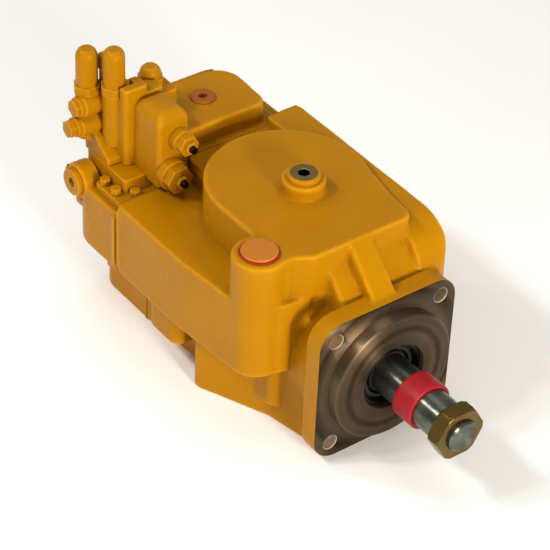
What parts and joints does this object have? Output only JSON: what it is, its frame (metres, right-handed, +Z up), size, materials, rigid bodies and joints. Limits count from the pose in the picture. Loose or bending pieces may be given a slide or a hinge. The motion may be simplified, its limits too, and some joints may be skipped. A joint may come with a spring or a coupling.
{
  "type": "axial piston pump",
  "caption": "Swash-yoke axial piston pump: painted cast housing with square mounting flange, keyed shaft, rear port block and a compensator valve stack.",
  "frame": {"origin": "centre of the mounting flange's front face, on the shaft axis", "axes": "-Y along the shaft, out of the flange; +Z up, away from the belly; +X to the right seen from the port block"},
  "size_m": [0.21, 0.4464, 0.272],
  "materials": {
    "painted_casting": "satin yellow enamel over cast iron",
    "painted_fitting": "satin yellow enamel over steel",
    "shaft_steel": "dark polished hardened steel",
    "zinc_nut": "yellow zinc dichromate",
    "bright_steel": "ground",
    "dark_steel": "black oxide",
    "spring_steel": "drawn wire",
    "bronze": "machined bronze",
    "red_plastic": "moulded",
    "tan_plastic": "moulded",
    "seal_rubber": "moulded",
    "red_rubber": "moulded",
    "gasket_sheet": "pressed fibre",
    "cast_iron": "machined"
  },
  "bodies": {
    "pump_case": {"base_screws": "painted_fitting", "bias_spring": "spring_steel", "case_plug": "painted_fitting", "compensator_base": "painted_casting", "compensator_body": "painted_casting", "cross_plug": "painted_fitting", "drain_cap": "tan_plastic", "drain_seal": "red_rubber", "flow_cap": "painted_fitting", "flow_spring": "spring_steel", "front_bearing_outer": "bright_steel", "front_bearing_rollers": "bright_steel", "gauge_plug": "tan_plastic", "housing": "painted_casting", "housing_bolts": "dark_steel", "joint_gasket": "gasket_sheet", "lock_nuts": "painted_fitting", "port_block": "painted_casting", "pressure_cap": "painted_fitting", "pressure_spring": "spring_steel", "rear_bearing_outer": "bright_steel", "rear_bearing_rollers": "bright_steel", "saddle_bearings": "bronze", "seal_carrier": "dark_steel", "shaft_seal": "seal_rubber", "short_domed_cap": "painted_fitting", "side_plugs": "painted_fitting", "snap_ring": "dark_steel", "spool_end_plugs": "dark_steel", "tall_domed_caps": "painted_fitting", "valve_plate": "bronze", "valve_plate_pin": "dark_steel"},
    "rotating_group": {"drive_shaft": "shaft_steel", "shaft_key": "dark_steel", "shaft_nut": "zinc_nut", "shipping_ring": "red_plastic", "front_bearing_inner": "bright_steel", "cylinder_barrel": "cast_iron", "pistons": "bright_steel", "slippers": "bronze", "retainer_plate": "bright_steel", "ball_guide": "bright_steel", "barrel_spring": "spring_steel", "spring_washers": "bright_steel"},
    "yoke": {"swash_yoke": "cast_iron", "yoke_arm": "bright_steel"},
    "control_piston": {"control_piston": "bright_steel"},
    "bias_piston": {"bias_piston": "bright_steel"},
    "pressure_spool": {"pressure_spool": "bright_steel", "pressure_spring_seat": "bright_steel"},
    "flow_spool": {"flow_spool": "bright_steel", "flow_spring_seat": "bright_steel"},
    "pressure_adjuster": {"pressure_adjuster": "dark_steel"},
    "flow_adjuster": {"flow_adjuster": "dark_steel"}
  },
  "joints": [
    {"name": "shaft_turn", "type": "hinge", "parent": "pump_case", "child": "rotating_group", "pos_m": [0, 0, 0], "axis": [0, -1, 0], "continuous": true},
    {"name": "yoke_tilt", "type": "hinge", "parent": "pump_case", "child": "yoke", "pos_m": [0, 0.12, 0], "axis": [-1, 0, 0], "range_deg": [0, 17], "deforming": ["bias_spring"]},
    {"name": "control_piston_stroke", "type": "slide", "parent": "pump_case", "child": "control_piston", "axis": [0, 1, 0], "range_m": [0, 0.0238]},
    {"name": "bias_piston_stroke", "type": "slide", "parent": "pump_case", "child": "bias_piston", "axis": [0, 1, 0], "range_m": [0, 0.0238]},
    {"name": "pressure_spool_stroke", "type": "slide", "parent": "pump_case", "child": "pressure_spool", "axis": [0, -1, 0], "range_m": [0, 0.0025], "stiffness_N_per_m": 2500, "deforming": ["pressure_spring"]},
    {"name": "flow_spool_stroke", "type": "slide", "parent": "pump_case", "child": "flow_spool", "axis": [0, -1, 0], "range_m": [0, 0.0025], "stiffness_N_per_m": 2500, "deforming": ["flow_spring"]},
    {"name": "pressure_adjuster_turn", "type": "hinge", "parent": "pump_case", "child": "pressure_adjuster", "pos_m": [-0.064, 0.223, 0.093], "axis": [0, -1, 0], "range_deg": [-180, 180]},
    {"name": "flow_adjuster_turn", "type": "hinge", "parent": "pump_case", "child": "flow_adjuster", "pos_m": [-0.055, 0.223, 0.127], "axis": [0, -1, 0], "range_deg": [-180, 180]}
  ],
  "couplings": [
    {"joint": "control_piston_stroke", "follows": "yoke_tilt", "m_per_rad": 0.08},
    {"joint": "bias_piston_stroke", "follows": "yoke_tilt", "m_per_rad": 0.08}
  ]
}
